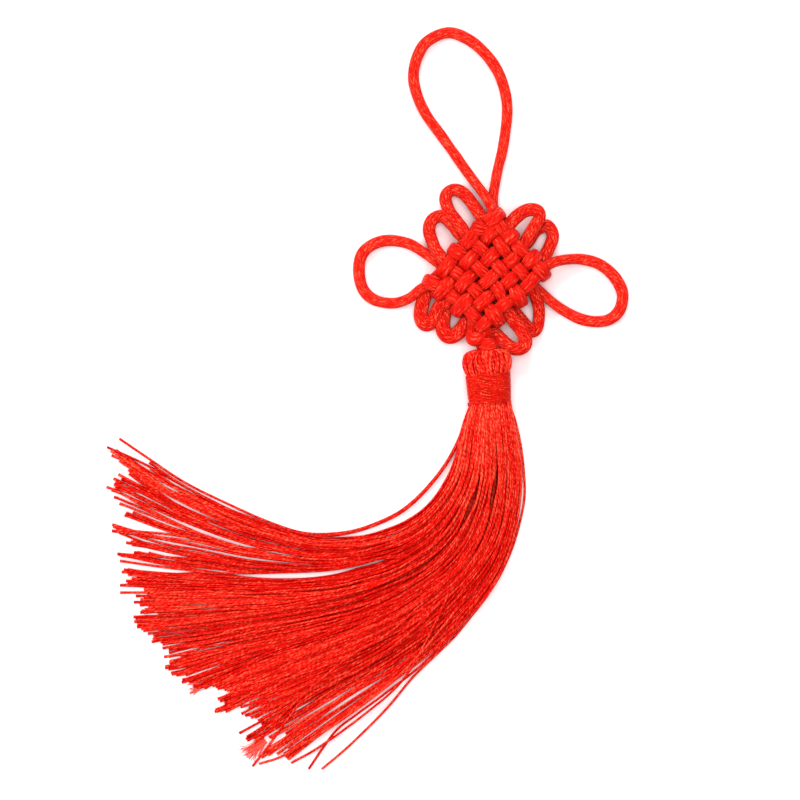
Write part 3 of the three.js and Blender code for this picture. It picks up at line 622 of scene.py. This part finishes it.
# ---- The tassel's skirt ----
# Nearly three hundred threads leave the binding. They start as one round bundle, spread into a
# thin fan, and were combed to the left, so all bend the same way and end in cut, singed tips.
GUIDES = np.array([  # from the inner to the outer edge: x, y at equal steps along the threads
    [[25.9, -1.5], [18.5, -18.1], [4.9, -30.1], [-13.0, -33.3], [-30.5, -28.7], [-46.8, -20.3],
     [-61.9, -10.0]],
    [[28.1, -1.5], [24.0, -20.2], [12.4, -35.0], [-4.9, -42.7], [-24.0, -44.4], [-43.2, -43.3],
     [-62.4, -41.8]],
    [[30.6, -1.5], [28.4, -21.1], [19.8, -38.6], [3.8, -49.9], [-15.1, -55.4], [-34.7, -58.4],
     [-54.4, -60.5]],
    [[33.4, -1.5], [34.2, -20.1], [29.6, -38.1], [17.7, -52.2], [2.1, -62.5], [-15.0, -70.3],
     [-31.9, -78.2]],
    [[35.9, -1.5], [39.1, -19.7], [36.6, -37.9], [28.5, -54.4], [16.1, -68.0], [2.2, -80.0],
     [-11.4, -92.5]],
])
SKIRT_THREADS = 285
STATIONS = 130                   # rings along each thread
SKIRT_LENGTH = 122.0
FAN_MARGIN = 0.03                # how far past the edge guides a thread may lie
TIPS = np.array([  # where the outermost cut tips lie, from the inner edge round to the outer: x, y
    [-65, -12], [-61.9, -14.5], [-55.8, -14.3], [-60, -17], [-62.4, -19], [-63.8, -19.8],
    [-64.3, -20.5], [-65.3, -22], [-62, -26.3], [-62.5, -28.3], [-65, -31.5], [-63.8, -32.8],
    [-60.8, -35.8], [-58.3, -38.3], [-62.8, -38.5], [-63, -39.8], [-60.8, -42], [-62.3, -42.8],
    [-59.8, -44.3], [-61.9, -45], [-62.5, -47.5], [-55.8, -49], [-57.8, -50.8], [-58.5, -51.8],
    [-58.8, -53.3], [-58.5, -56.5], [-57, -58], [-54.8, -60.5], [-51.3, -62.8], [-51, -64.5],
    [-50.5, -67.8], [-49.3, -70], [-46.3, -71], [-44.5, -72.3], [-42.3, -72.4], [-40.3, -71.6],
    [-38.3, -72.2], [-36.8, -72], [-35.8, -72.5],
    [-34, -73.8], [-36.8, -75.5], [-38.5, -77.8], [-31, -75.5], [-29.8, -78], [-31.3, -79],
    [-28.5, -80.8], [-27.5, -81.3], [-30.3, -84.8], [-23.3, -80.8], [-25.5, -83.3],
    [-28.3, -86.8], [-29, -91.8], [-26.8, -91.3], [-22, -89.3], [-20.3, -90.8], [-22.8, -86.5],
    [-19.5, -86.3]])
ALL_LAYERS = -2.0
SPLITS = [  # where the sheet opens: place across it, start, stop, half gap, only above this layer
    (0.247, 0.335, 0.84, 0.020, ALL_LAYERS), (0.47, 0.12, 0.30, 0.045, -0.4),
    (0.66, 0.10, 0.26, 0.040, -0.4), (0.36, 0.16, 0.34, 0.018, 0.2),
    (0.80, 0.16, 0.36, 0.016, 0.2), (0.57, 0.28, 0.44, 0.012, 0.3),
    (0.885, 0.60, 1.0, 0.010, ALL_LAYERS)]
STRAYS = [  # single threads that lie apart from the others: x, y
    [(26, -1), (22.2, -11.5), (16.9, -19.8), (9.6, -27.1), (2, -31.1), (-5.8, -33.3),
     (-15.3, -33.5), (-23.8, -31), (-33.5, -26.8), (-45.3, -21), (-55, -14.6), (-61.9, -9.9)],
    [(26.3, -1), (22.4, -11.7), (17.1, -20.1), (9.85, -27.45), (2.1, -31.5), (-5.9, -33.75),
     (-15.5, -34.1), (-24.3, -31.9), (-34, -27.8), (-45.6, -21.9), (-55.5, -16.3), (-65, -12)],
    [(35.4, -1), (37.2, -6), (38.5, -12), (39.2, -18), (39.4, -24), (38.4, -30), (36, -38),
     (31.5, -47), (23.5, -57), (12, -66), (-2, -76), (-14, -85)],
    [(36, -20), (34.5, -38), (28.5, -50.5), (22.9, -58.2), (18.4, -62.8), (11.5, -69.5),
     (4.8, -77.5), (-4.4, -86.6), (-11.3, -92.5)],
    [(35, -24), (32, -42), (24, -55.5), (14, -66), (4.5, -73.5), (-2.5, -78.7), (-7.3, -82.4),
     (-10.6, -86.6), (-14.6, -92.5)],
    [(31, -30), (24, -44), (12, -57), (0, -66.5), (-9, -71), (-15.5, -74.8), (-19.6, -79.6),
     (-24.4, -86.4), (-28.6, -91.8)],
    [(33, -30), (28, -44), (18, -58), (8, -69), (-2, -77), (-10, -82.5), (-18, -87.3),
     (-22, -89.6), (-27, -91.2)],
    [(30, -30), (22.5, -44), (16.5, -57), (9, -70), (-1, -79), (-12, -87), (-19, -91)],
    [(27, -34), (16.5, -48), (6, -58), (-4, -64), (-12.1, -70.5), (-18.4, -76.2), (-24, -81.3),
     (-30.3, -85)]]


def guide(u, s):
    """Place in plan of u across the fan and s along it, both 0 to 1: splines along the five
    guides, then a Catmull-Rom spline across them."""
    padded = np.concatenate([[2 * GUIDES[0] - GUIDES[1]], GUIDES, [2 * GUIDES[-1] - GUIDES[-2]]])
    lengthwise = through(padded.transpose(1, 0, 2), np.ravel(s) * 6)
    lengthwise = lengthwise.reshape(np.shape(s) + padded.shape[:1] + (2,))
    k = np.clip(np.floor(u * 4).astype(int), 0, 3)
    t = (u * 4 - k)[..., None]
    a, b, c, d = (np.take_along_axis(lengthwise, (k + m)[..., None, None], axis=-2)[..., 0, :]
                  for m in range(4))
    return 0.5 * (2 * b + (c - a) * t + (2 * a - 5 * b + 4 * c - d) * t ** 2
                  + (3 * b - a - 3 * c + d) * t ** 3)


# Each tip in the table is read back as a place across the sheet and a length along it.
grid_u, grid_s = np.meshgrid(np.linspace(-FAN_MARGIN, 1 + FAN_MARGIN, 213),
                             np.linspace(0.84, 1.06, 89), indexing="ij")
grid = guide(grid_u, grid_s).reshape(-1, 2)
nearest = ((TIPS[:, None] - grid[None]) ** 2).sum(-1).argmin(1)
tip_u, tip_s = grid_u.ravel()[nearest], grid_s.ravel()[nearest]

# The threads are shared out over the tips, denser in the middle of the fan, where they are also
# evened out, so the sheet is closed there; at its edges they keep to the tips and leave gaps.
EVEN_OVER = 12                   # threads on either side that the evening out averages
rng = np.random.default_rng(23)
share = np.interp(tip_u, [0, 0.06, 0.22, 0.30, 0.40, 0.70, 0.80, 1.0],
                  [6.0, 3.5, 2.0, 6.0, 7.0, 6.5, 4.0, 2.5])
chosen = np.sort(rng.choice(len(TIPS), SKIRT_THREADS, p=share / share.sum()))
chosen = chosen[np.argsort(tip_u[chosen], kind="stable")]
loose = np.interp(tip_u[chosen], [0.26, 0.34, 0.7, 0.85], [0.004, 0.020, 0.018, 0.012])
end_u = tip_u[chosen] + rng.normal(0, 1, SKIRT_THREADS) * loose
length = tip_s[chosen] - np.abs(rng.normal(0, 0.020, SKIRT_THREADS))
averaged = np.ones(2 * EVEN_OVER + 1) / (2 * EVEN_OVER + 1)
even_u = np.convolve(np.pad(np.sort(end_u), EVEN_OVER, mode="edge"), averaged, mode="valid")
end_u = end_u + (even_u - end_u) * np.interp(even_u, [0.28, 0.34, 0.70, 0.78], [0, 0.92, 0.85, 0])
even_u = even_u - 0.045 * np.exp(-even_u / 0.07) - 0.045 * np.exp((even_u - 1) / 0.08)

# In the binding they fill a round section, by the golden angle: across it and through it.
GOLDEN_ANGLE = 2.399963
spot = np.sqrt((np.arange(SKIRT_THREADS) + 0.5) / SKIRT_THREADS)
spin = np.arange(SKIRT_THREADS) * GOLDEN_ANGLE
across, through_bundle = spot * np.cos(spin), spot * np.sin(spin)
order = np.argsort(across + rng.normal(0, 0.10, SKIRT_THREADS))
across, through_bundle = across[order][:, None], through_bundle[order][:, None]

# The threads that lie underneath are the evenest, so the sheet hides the table.
UNDERNEATH = -0.1
under = np.flatnonzero(through_bundle[:, 0] < UNDERNEATH)
in_order = under[np.argsort(across[under, 0])]
across[under], through_bundle[under] = across[in_order], through_bundle[in_order]
spaced = np.interp((np.arange(len(under)) + 0.5) / len(under),
                   (np.arange(SKIRT_THREADS) + 0.5) / SKIRT_THREADS, even_u)
part = np.interp(spaced, [0.26, 0.32, 0.74, 0.82], [0, 1, 1, 0])
end_u[under] += (spaced - end_u[under]) * part
even_u[under] += (spaced - even_u[under]) * part
resting = np.where(through_bundle < UNDERNEATH, 0.35, 1.0)

# Across the fan each thread goes from its place in the bundle to its tip's, wandering a little.
# Below the binding the inner side of the skirt is drawn over to the outer.
WAVES = 10
DRAWN_AT = 0.24                  # share of the length at which it is drawn over the most
station = np.linspace(0, 1, STATIONS)
s = station[None] * (length[:, None] + 0.02) - 0.02
fan = np.clip(s, 0, 1) ** 1.15
waves = rng.normal(0, 1, (SKIRT_THREADS, WAVES + 1))
wander = through(waves.T, station * WAVES).T * 0.0045 * resting
end_mix = smooth((s - 0.42) / 0.56)
u = (0.5 + 0.5 * across) * (1 - fan) + fan * (
    even_u[:, None] * (1 - end_mix) + end_u[:, None] * end_mix) + wander * smooth(s / 0.3)
drawn = np.maximum(s, 0) / DRAWN_AT
u = u + 0.108 * (1 - u) * drawn ** 3.5 * np.exp(3.5 * (1 - drawn))

# The upper threads bunch into locks, the outer edge is drawn in, and the partings open.
LOCKS = 49
bunched = rng.normal(0, 0.008, LOCKS)
bunching = smooth(s / 0.2) * smooth((0.75 - s) / 0.35) * (through_bundle > UNDERNEATH)
u = u + np.interp(u, np.linspace(-0.1, 1.1, LOCKS), bunched) * bunching
u = u - 0.055 * np.exp((u - 1) / 0.06) * smooth((s - 0.40) / 0.2)
for place, start, stop, gap, above in SPLITS:
    side = u[:, int((start + stop) / 2 * STATIONS)] if above > ALL_LAYERS else end_u
    side = np.sign(side - place)[:, None]
    opened = np.sin(np.pi * np.clip((s - start) / (stop - start), 0, 1)) ** 2
    kept = place + side * np.maximum(side * (u - place), gap * opened)
    u = u + (kept - u) * smooth(3 * opened) * (through_bundle > above)

# The sheet thins from a round bundle at the binding to two or three threads at the tips.
BUNDLE_HALF = 3.5
plan = guide(np.clip(u, -FAN_MARGIN, 1 + FAN_MARGIN), s)
half_height = np.interp(s, [0, 0.06, 0.15, 0.3, 0.5, 0.75, 1.0],
                        [BUNDLE_HALF, 3.4, 2.7, 1.7, 1.0, 0.6, 0.35])
lift = np.interp(s, [0, 0.05, 0.14, 0.3], [HEAD_Z - BUNDLE_HALF - THREAD, 0.8, 0.1, 0.0])
height = THREAD + lift + half_height * (1 + through_bundle)
skirt_points = np.concatenate([plan, height[..., None]], axis=-1)

# The cut tips are singed, so each ends in a small hard bead. By the binding the threads are
# packed and fuller; there they carry painted highlight, and half way down painted shade.
left = (station[-1] - station)[None] * length[:, None] * SKIRT_LENGTH
thickness = THREAD * (1 + 0.28 * np.exp(-(left / 0.9) ** 2) + 0.30 * (1 - smooth(s / 0.25)))
painted_sheen_and_shade = (0.075 * (1 - smooth((s - 0.10) / 0.18))
        - 0.035 * smooth((s - 0.2) / 0.2) * smooth((0.8 - s) / 0.3))
skirt_pieces = []
for m, name in enumerate(("skirt_threads_inner", "skirt_threads_middle", "skirt_threads_outer")):
    part = slice(m * SKIRT_THREADS // 3, (m + 1) * SKIRT_THREADS // 3)
    skirt_pieces.append(threads(name, skirt_points[part], thickness[part]))
    point_value(skirt_pieces[-1], "painted_light", painted_sheen_and_shade[part].ravel(), THREAD_SIDES)

# Four stray threads come off at the binding or just below it, on the table. The others come out
# of the skirt further down, so they start inside it, pass over the sheet and then come down.
stray_points = np.stack([through(line, np.linspace(0, len(line) - 1, STATIONS))
                         for line in STRAYS])
rises = np.array([0.0, 0.55, 0.0, 0.2, 2.4, 2.8, 2.5, 2.4, 2.6])[:, None]
leaves = np.array([1, 1, 1, 1, 0, 0, 0, 0, 0])[:, None]
stray_height = THREAD + rises * smooth(station / 0.3 + leaves) * (
    1 - smooth((station - 0.5) / 0.5)) + 3.0 * leaves * (1 - smooth(station / 0.12))
stray_points = np.concatenate([stray_points, stray_height[..., None]], axis=-1)
skirt_pieces.append(threads("skirt_stray_threads", stray_points, THREAD))

# Two bundles of cut ends have come undone into fine filaments, like a brush.
UNDONE = [  # x, y, heading, filaments, length
    (-25.4, -85.2, -2.47, 50, 7.0), (-40.2, -71.0, -2.70, 26, 5.0)]
rng = np.random.default_rng(41)
hairs = []
for x, y, heading, count, reach in UNDONE:
    turn = heading + rng.normal(0, 0.16, (count, 1))
    run = np.linspace(0, 1, 8)[None] * rng.uniform(0.6 * reach, reach, (count, 1))
    aside = rng.normal(0, 0.55, (count, 1))
    bend = rng.normal(0, 0.025, (count, 1)) * run
    hairs.append(np.stack([x - aside * np.sin(heading) + run * np.cos(turn + bend),
                           y + aside * np.cos(heading) + run * np.sin(turn + bend),
                           0.2 + 0.7 * rng.uniform(0, 1, (count, 1)) + 0 * run], axis=-1))
FILAMENT = 0.07
frayed_ends = threads("skirt_frayed_ends", np.concatenate(hairs), FILAMENT, sides=4)
# The loose filaments get a lighter copy of the tassel yarn: painted light, standing for the light
# that shines through such thin fibres.
frayed_ends.data.materials.append(thread_material(
    "red_loose_fibre_painted_glow", dyed, relief=0.02, shine=0.05, Colour=(0.82, 0.060, 0.040),
    Shade=(0.60, 0.030, 0.020), Crest=(0.92, 0.20, 0.15), Stitch=2.0, Column=1.04, Lean=0.0,
    Stitch_height=0.1, Slack_height=0.0, Fibre=0.5, Roughness=0.4, Thread_tone=0.2))
for piece in skirt_pieces:
    piece.data.materials.append(tassel_yarn)
for piece in skirt_pieces + [frayed_ends]:
    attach(piece, "root")
    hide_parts("tassel")


# ---- The binding ----
# Finer thread is wound seventeen times round the neck and pulled tight. At the front, left of
# the middle, short turns slant over the others, and the cut end stands out at the lower left.
WINDS, WIND_FROM, WIND_TO = 17, 5.8, 13.05       # from and to: distances from the head's top
FINE = 0.25                      # radius of the binding thread
DENT_ANGLE, DENT = 2.3, 0.55     # the winding is drawn in there, by that much
NECK = np.array([  # distance from the head's top, half width, half height
    [5.0, 5.75, 4.75], [9.5, 5.58, 4.7], [14.0, 5.28, 4.65]])
RINGS_A_WIND = 72
rng = np.random.default_rng(31)
turns = np.linspace(0, WINDS, WINDS * RINGS_A_WIND)
uneven = through(rng.normal(0, 1, (WINDS * 3 + 3, 2)), turns * 3)
distance = WIND_FROM + (WIND_TO - WIND_FROM) * turns / WINDS + 0.012 * uneven[:, 0]
round_angle = turns * 2 * np.pi
sunk = DENT * np.exp(-((round_angle % (2 * np.pi) - DENT_ANGLE) / 0.30) ** 2)
wound = on_head(distance, round_angle, FINE + sunk - 0.01 * uneven[:, 1], NECK)

# The slanted turns come up through the winding, pass over it and go down again.
SLANTED = 15
t = np.linspace(0, 1, 24)[None]
start = WIND_FROM - 0.3 + np.linspace(0, WIND_TO - WIND_FROM - 0.5, SLANTED)[:, None]
start = start + rng.normal(0, 0.12, (SLANTED, 1))
over = on_head(np.clip(start + 1.0 * t, WIND_FROM, WIND_TO),
               1.98 - 0.56 * t + rng.normal(0, 0.03, (SLANTED, 1)),
               FINE + 0.14 - 0.42 * np.sin(np.pi * t), NECK)

binding_pieces = []
for name, path in (("binding_winding", wound[None]), ("binding_slanted_turns", over)):
    reached = ((path[..., :2] - HEAD_TOP) @ HEAD_ALONG)[..., None]
    axis = np.concatenate([HEAD_TOP + HEAD_ALONG * reached,
                           np.full(path.shape[:2] + (1,), HEAD_Z)], axis=-1)
    binding_pieces.append(threads(name, path, FINE, outward=unit(path - axis)))

LOOSE_END = np.array([[26.2, -0.5, 3.6], [25.5, -0.9, 3.6], [25.3, -1.4, 3.4],
                      [25.6, -1.9, 3.2], [25.45, -2.5, 2.9], [26.1, -3.2, 2.4]])
loose_end = through(LOOSE_END, np.linspace(0, 5, 60))
binding_pieces.append(threads("binding_loose_end", loose_end[None], FINE))
binding_thread = thread_material(
    "red_binding_thread", dyed, relief=0.05, shine=0.04, Colour=(0.48, 0.005, 0.002),
    Shade=(0.27, 0.001, 0.001), Crest=(0.82, 0.080, 0.035), Stitch=0.8, Column=1.04, Lean=1.0,
    Stitch_height=0.3, Slack_height=0.0, Fibre=0.5, Roughness=0.30, Thread_tone=0.0)
for piece in binding_pieces:
    piece.data.materials.append(binding_thread)
    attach(piece, "root")
    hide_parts("binding")
